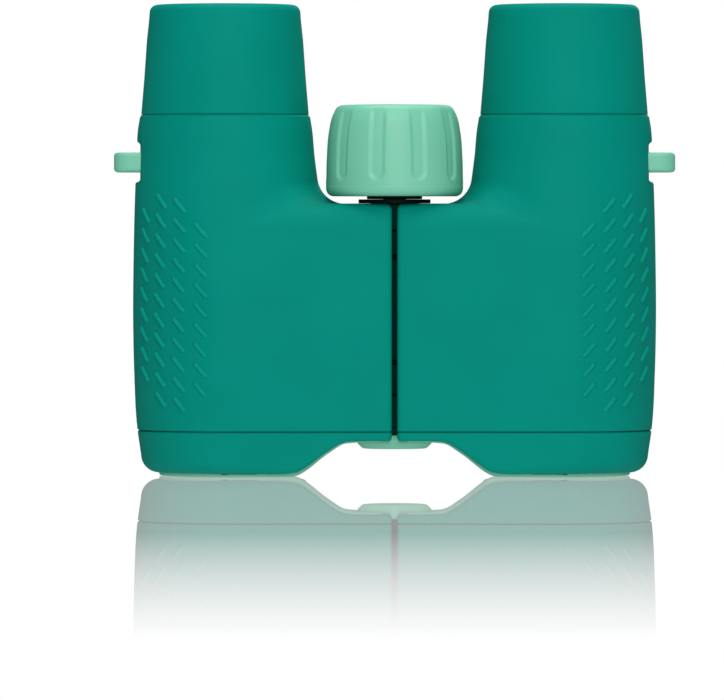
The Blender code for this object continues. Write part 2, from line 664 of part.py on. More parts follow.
def hinge_and_focus_train():
    centre = (0.0, HINGE_Y)
    origin = (0.0, HINGE_Y, 0.0)
    pin = [(0.0, 21.9), (PIN_R, 21.9), (PIN_R, 9.1), (4.6, 9.1), (4.6, 7.4), (0.0, 7.4)]
    keep(turned("hinge_pin", pin, centre), "steel", origin=origin)
    cap = [(0.0, 5.4), (5.6, 5.4), (6.8, 5.9), (7.2, 6.8), (7.2, 8.9), (5.2, 8.9), (5.2, 6.9), (0.0, 6.9)]
    keep(turned("hinge_end_cap", cap, centre, STEPS), "mint", origin=origin)
    collar = [(2.6, 40.6), (TUBE_R, 40.6), (TUBE_R, 52.4), (6.9, 52.4), (6.9, 52.9), (2.6, 52.9)]
    keep(turned("hinge_tube", collar, centre, STEPS), "black", origin=origin)
    keep(tube("hinge_washer_lower", PIN_R + FIT, WASHER_R, 21.7, 22.1, centre), "black", origin=origin)
    keep(tube("hinge_washer_upper", TUBE_R + FIT, WASHER_R, 41.7, 42.1, centre), "black", origin=origin)
    spindle = [(0.0, 23.0), (SPINDLE_R, 23.0), (SPINDLE_R, 65.6), (1.3, 65.6), (1.3, 59.6), (0.0, 59.6)]
    keep(turned("focus_spindle", spindle, centre), "brass", origin=origin)
    bore = SPINDLE_R + FIT
    spool = [(bore, 28.9)]
    for low, high in ((30.1, 32.9), (34.1, 36.9)):
        spool += [(5.0, spool[-1][1]), (5.0, low), (3.5, low), (3.5, high)]
    spool += [(5.0, 36.9), (5.0, 38.1), (bore, 38.1)]
    keep(turned("focus_spool", spool, centre), "brass", origin=origin)
    keep(tube("wheel_collar", bore, 5.3, 53.2, 54.1, centre), "black", origin=origin)
    screw = [(0.0, 68.6), (2.6, 68.6), (2.6, 66.8), (1.0, 66.8), (1.0, 59.9), (0.0, 59.9)]
    keep(turned("wheel_screw", screw, centre), "steel", origin=origin)
    keep(rod("wheel_cap", 7.5, 69.6, 70.9, centre, STEPS), "mint", origin=origin)


def build():
    for label, side in SIDES.items():
        knuckles = LEFT_KNUCKLES if side < 0 else RIGHT_KNUCKLES
        arm_z = LEFT_ARM_Z if side < 0 else RIGHT_ARM_Z
        main_armour(label, side)
        front_armour(label, side)
        front_cover(label, side)
        chassis(label, side, knuckles, arm_z)
        strap_lug(label, side)
        objective(label, side)
        focusing_group(label, side, arm_z)
        prisms(label, side)
        eyepiece(label, side)
        eyecup(label, side)
    hinge_and_focus_train()
    focus_wheel()


clear_scene()
PARTS = make_collection("binoculars")
CUTTERS = make_collection("cutters")
build()
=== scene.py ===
"""The finished look of a pair of compact roof-prism binoculars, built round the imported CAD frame.

The rubber casing, the base covers and the strap lugs are surfaces of smooth distance fields, so that
barrel, bridge and neck flow into each other.  Turned parts are fine lathe shapes with rounded corners.
Lengths are in millimetres unless a name ends in _m, and MM turns them into metres.  A side's own
coordinate u is its distance from the hinge plane, so one description makes both halves.
"""

import json
import math

import bmesh
import bpy
import numpy as np
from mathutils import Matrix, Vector

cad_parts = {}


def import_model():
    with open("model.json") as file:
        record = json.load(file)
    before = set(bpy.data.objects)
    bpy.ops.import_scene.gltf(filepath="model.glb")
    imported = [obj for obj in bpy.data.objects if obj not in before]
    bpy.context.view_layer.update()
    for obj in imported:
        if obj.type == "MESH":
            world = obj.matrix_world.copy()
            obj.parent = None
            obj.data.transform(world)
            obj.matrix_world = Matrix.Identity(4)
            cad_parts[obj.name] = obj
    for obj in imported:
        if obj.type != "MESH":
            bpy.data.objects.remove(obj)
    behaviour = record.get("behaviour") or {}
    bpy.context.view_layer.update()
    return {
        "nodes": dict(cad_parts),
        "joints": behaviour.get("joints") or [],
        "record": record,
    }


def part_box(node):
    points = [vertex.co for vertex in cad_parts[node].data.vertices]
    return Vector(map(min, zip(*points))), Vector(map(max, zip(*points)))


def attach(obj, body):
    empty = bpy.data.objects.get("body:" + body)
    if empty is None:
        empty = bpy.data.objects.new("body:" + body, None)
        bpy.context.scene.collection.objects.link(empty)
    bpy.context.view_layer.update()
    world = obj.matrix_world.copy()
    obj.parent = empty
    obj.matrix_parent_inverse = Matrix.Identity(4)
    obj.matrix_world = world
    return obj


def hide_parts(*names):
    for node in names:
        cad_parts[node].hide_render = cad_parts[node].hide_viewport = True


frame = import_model()

MM = 0.001
SIDES = {"left": -1, "right": 1}
JOINTS = {joint["name"]: joint for joint in frame["joints"]}


def box_mm(node):
    low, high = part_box(node)
    return low / MM, high / MM


def top_of(node):
    return box_mm(node)[1].z


def foot_of(node):
    return box_mm(node)[0].z


# Places read from the frame
EYECUP_BOX = box_mm("right_eyecup")
AXIS_X = (EYECUP_BOX[0].x + EYECUP_BOX[1].x) / 2
HINGE_Y = JOINTS["interpupillary_fold"]["pos_m"][1] / MM
FOLD_DEG = JOINTS["interpupillary_fold"]["range_deg"][1]
TOTAL_HEIGHT = EYECUP_BOX[1].z
WHEEL_TOP = top_of("focus_wheel")
WHEEL_FOOT = foot_of("focus_wheel")
LUG_REACH = box_mm("right_strap_lug")[1].x
LUG_FOOT = foot_of("right_strap_lug")
LUG_TOP = top_of("right_strap_lug")

# Casing: height, barrel centre, half width, half depth
BARREL = (
    (-3.0, 32.6, 15.3, 15.2),
    (0.3, 32.6, 15.8, 15.75),
    (3.6, 32.6, 16.15, 16.2),
    (9.0, 32.3, 17.2, 17.3),
    (20.0, 31.7, 18.4, 18.8),
    (30.0, 31.4, 18.9, 19.35),
    (42.0, 31.5, 18.7, 19.15),
    (53.0, 32.1, 17.85, 18.2),
    (61.6, 32.5, 17.1, 17.05),
    (66.5, 32.6, 16.75, 16.65),
    (69.0, 32.6, 16.35, 16.3),
    (74.0, 32.6, 16.1, 16.0),
)
# Front face of the bridge: height, its depth at the gap
BRIDGE_FRONT = (
    (-3.0, 15.2),
    (4.4, 15.9),
    (9.4, 16.6),
    (20.0, 17.4),
    (30.0, 17.7),
    (42.0, 17.5),
    (47.0, 17.2),
    (53.0, 16.9),
)
# Under side of the bridge: distance from the hinge plane, height at which its rubber ends
BASE_SLOPE = (
    (-2.0, 6.85),
    (7.4, 6.85),
    (8.9, 6.8),
    (10.4, 6.4),
    (12.2, 5.3),
    (18.6, 0.9),
    (24.0, -0.7),
    (30.0, -1.5),
)
# The same for the foot of the cover
COVER_SLOPE = (
    (-2.0, 6.5),
    (8.0, 6.5),
    (9.6, 6.3),
    (12.6, 4.5),
    (18.0, 0.5),
    (24.0, -1.0),
    (30.0, -1.5),
)
BRIDGE_BACK = 2.6
BRIDGE_TOP = 52.2
HALF_GAP = 0.5

# Heights of the base and of both sides of the two seams.  A seam's floor is SEAM_DEPTH in from the
# skin, and the lip that fills it stops SEAM_CLEARANCE short of the part above, LIP_TUCK further in.
BASE_Z = 0.55
BUMPER_TOP = 8.55
SEAM_LOW = 8.75
SEAM_TOP = 68.97
EYECUP_LOW = 69.25
SEAM_DEPTH = 0.2
SEAM_CLEARANCE = 0.05
LIP_TUCK = 0.04

# The rubber's thickness, and the rooms it leaves for the hinge and the objective cell
WALL = 1.6
HINGE_ROOM = 7.3
CAP_ROOM = 7.8
POCKET_ROOM = 5.0
MOUTH_R = 12.9
BORE_R = 14.0
BORE_FLOOR = 2.2

# Notch in the casing for the strap lug: its depth, and how far it goes past the lug
NOTCH_DEPTH = 5.1
NOTCH_MARGIN = 1.8

# Front cover: the ring under the barrel, the foot under the bridge and the sole between them
FIT = 0.3
RING_R = 12.7
RING_HALF_WIDTH = 0.75
RING_HALF_HEIGHT = 1.2
RING_EDGE = 0.2
FOOT_SETBACK = 0.8
FOOT_TOP = 8.3
FOOT_EDGE = 0.3
FOOT_ROOM_R = 11.3
COVER_ROOT = 26.0
SOLE_TURN = math.radians(10)
SOLE_OVERLAP = 0.3
SOLE_DROP = 0.03
SOLE_ROOM_R = 11.5

# Radii of the casing's edges
NECK_FILLET = 4.5
TOP_EDGE = 4.6
GAP_EDGE = 0.9
BACK_EDGE = 1.2
ARC_EDGE = 0.4
BASE_EDGE = 3.0
BRIDGE_EDGE = 1.2
BASE_EDGE_START, BASE_EDGE_RUN = 24.0, 14.0  # u where the base's edge starts to grow, and for how long
SLOPE_EDGE = 0.7
NOTCH_EDGE = 0.5
SEAM_EDGE = 0.25

# Grids that the fields are sampled on: step, and where needed rows, low corner and high corner
CASING_STEP = (SEAM_TOP - SEAM_LOW - 2 * SEAM_EDGE) / 114
CASING_BOX = (-1.0, -21.0, 0.0), (52.0, 21.0, 0.0)
BUMPER_STEP = 0.5
BUMPER_ROWS = 18
BUMPER_REACH = 20.0
LUG_STEP = 0.22
LUG_BOX = (LUG_REACH - 8.5, -6.3, LUG_FOOT - 1.0), (LUG_REACH + 1.0, 6.3, LUG_TOP + 1.0)
COVER_STEP = 0.3
COVER_BOX = (1.5, -16.0, -0.8), (AXIS_X + 15.0, 15.0, 9.4)


# Distance fields: negative inside, arrays of points in millimetres


def rounded_max(a, b, radius):
    """Where both shapes hold, with a rounded edge."""
    corner = np.sqrt(np.maximum(a + radius, 0.0) ** 2 + np.maximum(b + radius, 0.0) ** 2)
    return np.minimum(-radius, np.maximum(a, b)) + corner


def rounded_min(a, b, radius):
    """Either shape, with a fillet between them."""
    return -rounded_max(-a, -b, radius)


def smooth(table, at, column):
    """A cubic curve through one column of a table whose first column rises."""
    knots = np.array([row[0] for row in table])
    values = np.array([row[column] for row in table])
    slopes = np.gradient(values, knots)
    at = np.clip(at, knots[0], knots[-1])
    i = np.clip(np.searchsorted(knots, at, side="right") - 1, 0, len(knots) - 2)
    width = knots[i + 1] - knots[i]
    t = (at - knots[i]) / width
    rise = values[i] * (1 + 2 * t) * (1 - t) ** 2 + values[i + 1] * t**2 * (3 - 2 * t)
    return rise + width * (slopes[i] * t * (1 - t) ** 2 - slopes[i + 1] * t**2 * (1 - t))


def barrel_field(u, y, z, inset=0.0):
    """The barrel's oval column, or one that lies inside it by the inset."""
    centre = smooth(BARREL, z, 1)
    width = smooth(BARREL, z, 2) - inset
    depth = smooth(BARREL, z, 3) - inset
    a = (u - centre) / width
    b = y / depth
    reach = np.sqrt(a**2 + b**2)
    slope = np.sqrt((a / width) ** 2 + (b / depth) ** 2)
    return reach * (reach - 1.0) / np.maximum(slope, 1e-6)


def belt(z):
    """The bridge's front is a straight line that leaves the barrel without a crease, like a belt.

    Gives the line's depth at the gap, its slope, and the u where it touches the barrel.
    """
    centre, width, depth = (smooth(BARREL, z, column) for column in (1, 2, 3))
    gap_front = smooth(BRIDGE_FRONT, z, 1)
    across = (centre - HALF_GAP) / width
    forward = gap_front / depth
    turn = np.arctan2(across, forward) - np.arccos(1 / np.hypot(across, forward))
    touch = centre - width * np.sin(turn)
    return gap_front, (depth * np.cos(turn) - gap_front) / (touch - HALF_GAP), touch


def bridge_faces(u, y, z):
    """How far a point is outside the bridge: front, top, back and gap faces, swing face and root."""
    gap_front, slope, touch = belt(z)
    lean = math.radians(FOLD_DEG / 2 + 2)
    front = -y - gap_front - slope * (u - HALF_GAP)
    swing = (y - HINGE_Y) * math.sin(lean) - u * math.cos(lean)
    return front, z - BRIDGE_TOP, y - BRIDGE_BACK, HALF_GAP - u, swing, u - touch


def bridge_field(u, y, z, room):
    """The bridge, with a round room of the given radius for the hinge."""
    front, top, back, gap, swing, root = bridge_faces(u, y, z)
    body = rounded_max(front, top, TOP_EDGE)
    body = rounded_max(body, gap, GAP_EDGE)
    body = rounded_max(body, rounded_max(back, swing, BACK_EDGE), BACK_EDGE)
    body = rounded_max(body, room - np.hypot(u, y - HINGE_Y), ARC_EDGE)
    return np.maximum(body, root)


def pocket_field(u, y, z):
    """The hollow in the bridge, open towards the hinge."""
    front, top, back, gap, swing, root = (face + WALL for face in bridge_faces(u, y, z))
    hollow = rounded_max(front, top, TOP_EDGE - WALL)
    for face in (back, gap, swing, root - WALL, POCKET_ROOM - np.hypot(u, y - HINGE_Y)):
        hollow = np.maximum(hollow, face)
    return hollow


def neck_fillet(u, y, z):
    """The fillet's radius: full where barrel and bridge cross, none where one runs into the other."""
    across = (u - smooth(BARREL, z, 1)) / smooth(BARREL, z, 2) ** 2
    forward = -y / smooth(BARREL, z, 3) ** 2
    barrel_forward = np.clip(forward / np.maximum(np.hypot(across, forward), 1e-6), 0.0, 1.0)
    front, top = bridge_faces(u, y, z)[:2]
    front = np.maximum(front + TOP_EDGE, 0.0)
    top = np.maximum(top + TOP_EDGE, 0.0)
    bridge_forward = front / np.maximum(np.hypot(front, top), 1e-6)
    return NECK_FILLET * (1 - barrel_forward * bridge_forward)


def casing_field(points):
    """The armour of one barrel and its bridge: a hollow shell with a notch for the strap lug."""
    u, y, z = points.T
    middle = (LUG_TOP + LUG_FOOT) / 2
    notch_half = (LUG_TOP - LUG_FOOT) / 2 + NOTCH_MARGIN
    notch = np.maximum(LUG_REACH - NOTCH_DEPTH - u, np.abs(z - middle) - notch_half)
    barrel, bridge = barrel_field(u, y, z), bridge_field(u, y, z, HINGE_ROOM)
    outside = rounded_min(barrel, bridge, neck_fillet(u, y, z))
    outside = rounded_max(outside, -notch, NOTCH_EDGE)
    hollow = np.minimum(barrel_field(u, y, z, WALL), pocket_field(u, y, z))
    return np.maximum(outside, -hollow)


def bumper_fillet(u, y, z):
    """The neck's fillet, which shrinks to a small one at the base."""
    start, rise, least = 2.5, 6.0, 0.15
    return neck_fillet(u, y, z) * np.clip((z - start) / rise, least, 1.0)


def under_slope(table, u, z):
    """How far a point is under a slope, as a distance across it."""
    steepest = 0.8
    return (smooth(table, u, 1) - z) * steepest


def bumper_field(points):
    """The bumper: the same outside as the casing's, down to a base with a hollow for the cover."""
    u, y, z = points.T
    share = np.clip((u - BASE_EDGE_START) / BASE_EDGE_RUN, 0.0, 1.0)
    base_edge = BRIDGE_EDGE + (BASE_EDGE - BRIDGE_EDGE) * share
    barrel = rounded_max(barrel_field(u, y, z), BASE_Z - z, base_edge)
    bridge = rounded_max(bridge_field(u, y, z, CAP_ROOM), BASE_Z - z, base_edge)
    bridge = rounded_max(bridge, under_slope(BASE_SLOPE, u, z), SLOPE_EDGE)
    outside = rounded_min(barrel, bridge, bumper_fillet(u, y, z))
    radius = np.hypot(u - AXIS_X, y)
    hollow = np.minimum(radius - MOUTH_R, np.maximum(radius - BORE_R, BORE_FLOOR - z))
    hollow = np.minimum(hollow, np.maximum(pocket_field(u, y, z), BORE_R + WALL - radius))
    return rounded_max(outside, -hollow, SEAM_EDGE)


def cover_field(points):
    """The pale ring that the binoculars stand on, and the foot that closes the bridge from below."""
    u, y, z = points.T
    radius = np.hypot(u - AXIS_X, y)
    across = np.abs(radius - RING_R + RING_HALF_WIDTH) - RING_HALF_WIDTH
    ring = rounded_max(across, np.abs(z - RING_HALF_HEIGHT) - RING_HALF_HEIGHT, RING_EDGE)
    front, _, back, gap, swing, _ = (face + WALL + FIT for face in bridge_faces(u, y, z))
    front = front + FOOT_SETBACK
    foot = rounded_max(front, -z, FOOT_EDGE)
    foot = rounded_max(foot, under_slope(COVER_SLOPE, u, z), FOOT_EDGE)
    cap = CAP_ROOM - np.hypot(u, y - HINGE_Y)
    for face in (back, gap, swing, cap, z - FOOT_TOP, u - COVER_ROOT):
        foot = np.maximum(foot, face)
    room = np.minimum(radius - FOOT_ROOM_R, np.maximum(radius - MOUTH_R, 2 * RING_HALF_HEIGHT - z))
    foot = np.maximum(foot, -room)
    sole = sole_field(u, y, z, radius, front)
    return np.minimum(ring, np.minimum(foot, sole))


def sole_field(u, y, z, radius, front):
    """A thin sole that carries the foot's front edge on to the ring."""
    along, ahead = math.sin(SOLE_TURN), math.cos(SOLE_TURN)
    sole = (u - AXIS_X) * along - y * ahead - RING_R
    sole = rounded_max(np.maximum(sole, front), -z, FOOT_EDGE)
    inner_end, outer_end = COVER_ROOT - SOLE_OVERLAP - u, u - AXIS_X - RING_R * along
    for face in (inner_end, outer_end, y, z - BASE_Z + SOLE_DROP, SOLE_ROOM_R - radius):
        sole = np.maximum(sole, face)
    return sole


def lug_field(points):
    """A flat rounded tongue with a slot for a cord, hollowed where it sits on the barrel."""
    u, y, z = points.T
    corner, half_width, edge, inner_end = 3.2, 5.4, 0.7, 40.0
    slot_centre, slot_half, slot_length, slot_corner = LUG_REACH - 3.05, 1.35, 3.6, 1.2
    slot_edge = 0.45
    seat_radius, seat_u = 15.45, 32.4
    outline = rounded_max(u - LUG_REACH, np.abs(y) - half_width, corner)
    outline = np.maximum(outline, inner_end - u)
    middle = (LUG_TOP + LUG_FOOT) / 2
    body = rounded_max(outline, np.abs(z - middle) - (LUG_TOP - LUG_FOOT) / 2, edge)
    slot = rounded_max(np.abs(u - slot_centre) - slot_half, np.abs(y) - slot_length, slot_corner)
    body = rounded_max(body, -slot, slot_edge)
    return np.maximum(body, seat_radius - np.hypot(u - seat_u, y))


# Meshes from fields


def gradient(field, points):
    """The field's slope at each point, from small steps both ways."""
    nudge = 0.02
    columns = []
    for axis in range(3):
        step = np.zeros(3)
        step[axis] = nudge
        columns.append((field(points + step) - field(points - step)) / (2 * nudge))
    return np.stack(columns, axis=1)


def net_quads(inside, index, open_ends):
    """Four cells round every grid edge that leaves the shape."""
    quads = []
    for d in range(3):
        e, f = (d + 1) % 3, (d + 2) % 3
        trim = [slice(None)] * 3
        trim[e] = slice(1, -1)
        trim[f] = slice(1, -1)
        near, far = list(trim), list(trim)
        near[d] = slice(None, -1)
        far[d] = slice(1, None)
        a, b = inside[tuple(near)], inside[tuple(far)]
        for leaving, flip in ((a & ~b, False), (~a & b, True)):
            at = np.argwhere(leaving)
            at[:, e] += 1
            at[:, f] += 1
            if d == 2:  # no faces in the plane of an open end
                last = inside.shape[2] - 2
                keep = np.ones(len(at), bool)
                if open_ends[0]:
                    keep &= at[:, 2] > 0
                if open_ends[1]:
                    keep &= at[:, 2] < last
                at = at[keep]
            corners = []
            for de, df in ((-1, -1), (0, -1), (0, 0), (-1, 0)):
                cell = at.copy()
                cell[:, e] += de
                cell[:, f] += df
                corners.append(index[tuple(cell.T)])
            quad = np.stack(corners, axis=1)
            quads.append(quad[:, ::-1] if flip else quad)
    return np.concatenate(quads)


def edges_of(quads):
    """Each edge once, and whether it has only one face."""
    ends = np.concatenate([quads[:, [i, (i + 1) % 4]] for i in range(4)])
    edges, count = np.unique(np.sort(ends, axis=1), axis=0, return_counts=True)
    return edges, count == 1


def relaxed(points, edges, rim_edge):
    """How far each point is from the middle of its neighbours; a rim point looks along the rim only."""
    on_rim = np.zeros(len(points), bool)
    on_rim[edges[rim_edge].ravel()] = True
    used = rim_edge | ~(on_rim[edges[:, 0]] | on_rim[edges[:, 1]])
    inner = ~rim_edge & (on_rim[edges[:, 0]] ^ on_rim[edges[:, 1]])
    total = np.zeros_like(points)
    count = np.zeros(len(points))
    for chosen in (edges[used], edges[used][:, ::-1]):
        np.add.at(total, chosen[:, 0], points[chosen[:, 1]])
        np.add.at(count, chosen[:, 0], 1)
    for a, b in (edges[inner].T, edges[inner][:, ::-1].T):
        free = ~on_rim[a]
        np.add.at(total, a[free], points[b[free]])
        np.add.at(count, a[free], 1)
    return total / np.maximum(count, 1)[:, None] - points


def crossed_cells(field, low, step, counts):
    """Which grid corners are inside the shape, and which cells its surface crosses."""
    axes = [low[k] + step * np.arange(counts[k]) for k in range(3)]
    grid = np.stack(np.meshgrid(*axes, indexing="ij"), axis=-1).reshape(-1, 3)
    inside = (field(grid) < 0).reshape(counts)
    corner_count = sum(
        inside[a : counts[0] - 1 + a, b : counts[1] - 1 + b, c : counts[2] - 1 + c].astype(int)
        for a in (0, 1)
        for b in (0, 1)
        for c in (0, 1)
    )
    return inside, (corner_count > 0) & (corner_count < 8)


def blocky_net(field, low, high, step, open_low, open_high):
    """One point in each crossed cell, the quads between them, and which points are in an open end."""
    low, high = np.array(low, float), np.array(high, float)
    if open_low is not None:
        low[2] = open_low - step / 2
    if open_high is not None:
        high[2] = open_high + step / 2
        low[2] = high[2] - step * round((high[2] - low[2]) / step)
    counts = np.round((high - low) / step).astype(int) + 1
    inside, active = crossed_cells(field, low, step, counts)
    index = np.full(active.shape, -1)
    index[active] = np.arange(active.sum())
    cells = np.argwhere(active)
    points = low + (cells + 0.5) * step
    quads = net_quads(inside, index, (open_low is not None, open_high is not None))
    fixed = np.zeros(len(points), bool)
    if open_low is not None:
        fixed |= cells[:, 2] == 0
    if open_high is not None:
        fixed |= cells[:, 2] == active.shape[2] - 1
    used = np.unique(quads)
    renumber = np.full(len(points), -1)
    renumber[used] = np.arange(len(used))
    return points[used], renumber[quads], fixed[used]


def unit_normals(field, points):
    normal = gradient(field, points)
    return normal / np.maximum(np.linalg.norm(normal, axis=1, keepdims=True), 1e-9)


def field_surface(field, low, high, step, open_low=None, open_high=None):
    """Quads on the zero surface of a field; it stays open at the heights that are given.

    The points of a blocky net are pulled on to the surface, then evened out along it.  Gives points,
    quads, normals and the edges of the open ends.
    """
    settling, rounds, finishing = 4, 6, 3
    evening, least_slope = 0.5, 0.05
    points, quads, fixed = blocky_net(field, low, high, step, open_low, open_high)
    edges, rim_edge = edges_of(quads)

    def project(points):
        slope = gradient(field, points)
        slope[fixed, 2] = 0.0
        square = np.maximum((slope**2).sum(axis=1), least_slope)
        move = -(field(points) / square)[:, None] * slope
        length = np.linalg.norm(move, axis=1, keepdims=True)
        return points + move * np.minimum(1.0, step / np.maximum(length, 1e-9))

    for _ in range(settling):
        points = project(points)
    for _ in range(rounds):
        move = relaxed(points, edges, rim_edge)
        normal = unit_normals(field, points)
        move -= (move * normal).sum(axis=1, keepdims=True) * normal
        move[fixed, 2] = 0.0
        points = project(points + evening * move)
    for _ in range(finishing):
        points = project(points)
    return points, quads, unit_normals(field, points), edges[rim_edge]


def rim_rows(edge, floor=0.0, rise=0.0):
    """Insets and rises that round an open end, and that add the lip in a seam where asked."""
    rows = []
    steps = 4
    for i in range(1, steps + 1):
        angle = math.pi / 2 * i / steps
        rows.append((edge * (1 - math.cos(angle)), edge * math.sin(angle), angle))
    if rise:
        rows.append((floor, edge, math.pi / 2))
        rows.append((floor + LIP_TUCK, edge + rise, math.pi / 4))
    return rows


def close_rims(points, quads, normals, rims, ends):
    """Grow rows from each open end and fill the last one.  ends: (height, direction, rows).

    Gives the mesh and a shading normal for each of its points.
    """
    near = 0.01
    bm = bmesh.new()
    verts = [bm.verts.new(p) for p in points]
    bm.verts.index_update()
    for quad in quads:
        bm.faces.new([verts[i] for i in quad])
    shading = [Vector(n) for n in normals]
    for height, direction, rows in ends:
        at_end = np.abs(points[:, 2] - height) < near
        edges = [(a, b) for a, b in rims if at_end[a] and at_end[b]]
        ring = sorted({i for edge in edges for i in edge})
        across = {i: Vector((normals[i][0], normals[i][1], 0.0)).normalized() for i in ring}
        current = {i: verts[i] for i in ring}
        for inset, rise, angle in rows:
            following = {}
            for i in ring:
                place = Vector(points[i]) - across[i] * inset
                place.z = height + direction * rise
                following[i] = bm.verts.new(place)
                shading.append(across[i] * math.cos(angle) + Vector((0, 0, direction * math.sin(angle))))
            for a, b in edges:
                bm.faces.new((current[a], current[b], following[b], following[a]))
            current = following
        bm.edges.ensure_lookup_table()
        lips = [bm.edges.get((current[a], current[b])) for a, b in edges]
        bmesh.ops.triangle_fill(bm, use_beauty=True, edges=lips, normal=(0, 0, direction))
    bmesh.ops.recalc_face_normals(bm, faces=bm.faces)
    bm.verts.index_update()
    return bm, shading


def mesh_object(name, bm, side=1, shading=None):
    """A mesh object from millimetres, mirrored for the left side, with its own shading normals if given."""
    mesh = bpy.data.meshes.new(name)
    if side < 0:
        bmesh.ops.scale(bm, verts=bm.verts, vec=(-1, 1, 1))
        bmesh.ops.reverse_faces(bm, faces=bm.faces)
    bmesh.ops.scale(bm, verts=bm.verts, vec=(MM, MM, MM))
    bm.to_mesh(mesh)
    bm.free()
    mesh.shade_smooth()
    if shading is not None:
        mesh.normals_split_custom_set_from_vertices([(side * n.x, n.y, n.z) for n in shading])
    obj = bpy.data.objects.new(name, mesh)
    bpy.context.scene.collection.objects.link(obj)
    return obj


def place(obj, body, slot, material, *nodes):
    """Give a piece its finish and its body, and hide the CAD nodes that it stands for."""
    obj.data.materials.clear()
    obj.data.materials.append(material)
    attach(obj, body)
    if nodes:
        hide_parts(*nodes)
    return obj


# Turned shapes

SHARP_ANGLE = math.radians(32)


def rounded_outline(corners, closed=False):
    """Corners (radius, height, fillet) with an arc in place of each corner that has a fillet."""
    points = []
    count = len(corners)
    for i, (r, z, fillet) in enumerate(corners):
        here = Vector((r, z))
        if fillet == 0 or (not closed and i in (0, count - 1)):
            points.append((r, z))
            continue
        before = Vector(corners[i - 1][:2]) - here
        after = Vector(corners[(i + 1) % count][:2]) - here
        half = before.angle(after) / 2
        reach = fillet / math.tan(half)
        start = here + before.normalized() * reach
        end = here + after.normalized() * reach
        steps = 6
        for k in range(steps + 1):
            t = k / steps
            weight = math.sin(half)
            one, two = (1 - t) ** 2, t**2
            middle = 2 * t * (1 - t) * weight
            total = one + middle + two
            spot = (start * one + here * middle + end * two) / total
            points.append((spot.x, spot.y))
    return points


def turned(name, corners, centre, steps=160, cut=None):
    """A closed turned solid from an outline that starts and ends on the axis, or that runs round a ring.

    The cut, if there is one, tells how deep the skin lies at an angle, radius and height.
    """
    on_axis = corners[0][0] == 0
    outline = rounded_outline(corners, closed=not on_axis)
    bm = bmesh.new()
    rows = []
    for r, z in outline:
        if r == 0:
            rows.append([bm.verts.new((centre[0], centre[1], z))])
            continue
        row = []
        for i in range(steps):
            angle = 2 * math.pi * i / steps
            dent = cut(angle, r, z) if cut else 0.0
            x = centre[0] + (r - dent) * math.cos(angle)
            y = centre[1] + (r - dent) * math.sin(angle)
            row.append(bm.verts.new((x, y, z)))
        rows.append(row)
    pairs = list(zip(rows, rows[1:]))
    if not on_axis:
        pairs.append((rows[-1], rows[0]))
    for one, two in pairs:
        for i in range(steps):
            j = (i + 1) % steps
            if len(one) == 1:
                bm.faces.new((one[0], two[j], two[i]))
            elif len(two) == 1:
                bm.faces.new((one[i], one[j], two[0]))
            else:
                bm.faces.new((one[i], one[j], two[j], two[i]))
    bmesh.ops.recalc_face_normals(bm, faces=bm.faces)
    obj = mesh_object(name, bm)
    obj.data.set_sharp_from_angle(angle=SHARP_ANGLE)
    return obj


def lens_corners(radius, low, high, crown_low, crown_high, steps=14):
    """A lens between two rim heights, with a crown on either face."""
    shares = [i / steps for i in range(steps + 1)]
    upper = [(radius * share, high + crown_high * (1 - share**2), 0) for share in shares]
    lower = [(radius * share, low - crown_low * (1 - share**2), 0) for share in reversed(shares)]
    return upper + lower


# Materials

NOISE_SPAN = (0.3, 0.7)  # the part of a noise's range that is used


def principled(name, colour, roughness, metallic=0.0, **sockets):
    """A new material, its node tree and its shader."""
    material = bpy.data.materials.new(name)
    material.use_nodes = True
    shader = material.node_tree.nodes["Principled BSDF"]
    shader.inputs["Base Color"].default_value = (*colour, 1.0)
    shader.inputs["Roughness"].default_value = roughness
    shader.inputs["Metallic"].default_value = metallic
    for label, value in sockets.items():
        shader.inputs[label.replace("_", " ")].default_value = value
    return material, material.node_tree, shader


def noise(tree, scale, detail, stretch=(1, 1, 1)):
    """Noise in the object's own space."""
    coordinates = tree.nodes.new("ShaderNodeTexCoord")
    mapping = tree.nodes.new("ShaderNodeMapping")
    mapping.inputs["Scale"].default_value = stretch
    texture = tree.nodes.new("ShaderNodeTexNoise")
    texture.inputs["Scale"].default_value = scale
    texture.inputs["Detail"].default_value = detail
    tree.links.new(coordinates.outputs["Object"], mapping.inputs["Vector"])
    tree.links.new(mapping.outputs["Vector"], texture.inputs["Vector"])
    return texture.outputs["Fac"]


def spread(tree, source, low, high, start=NOISE_SPAN[0], end=NOISE_SPAN[1]):
    """The source's range from start to end, mapped to low and high."""
    node = tree.nodes.new("ShaderNodeMapRange")
    node.inputs["From Min"].default_value = start
    node.inputs["From Max"].default_value = end
    node.inputs["To Min"].default_value = low
    node.inputs["To Max"].default_value = high
    tree.links.new(source, node.inputs["Value"])
    return node.outputs["Result"]


def tint(tree, shader, source, dark, light):
    """Let the source drive the colour from dark to light."""
    ramp = tree.nodes.new("ShaderNodeValToRGB")
    for element, position, colour in zip(ramp.color_ramp.elements, NOISE_SPAN, (dark, light)):
        element.position = position
        element.color = (*colour, 1.0)
    tree.links.new(source, ramp.inputs["Fac"])
    tree.links.new(ramp.outputs["Color"], shader.inputs["Base Color"])


def bump(tree, shader, source, height_mm):
    node = tree.nodes.new("ShaderNodeBump")
    node.inputs["Strength"].default_value = 1.0
    node.inputs["Distance"].default_value = height_mm * MM
    tree.links.new(source, node.inputs["Height"])
    tree.links.new(node.outputs["Normal"], shader.inputs["Normal"])


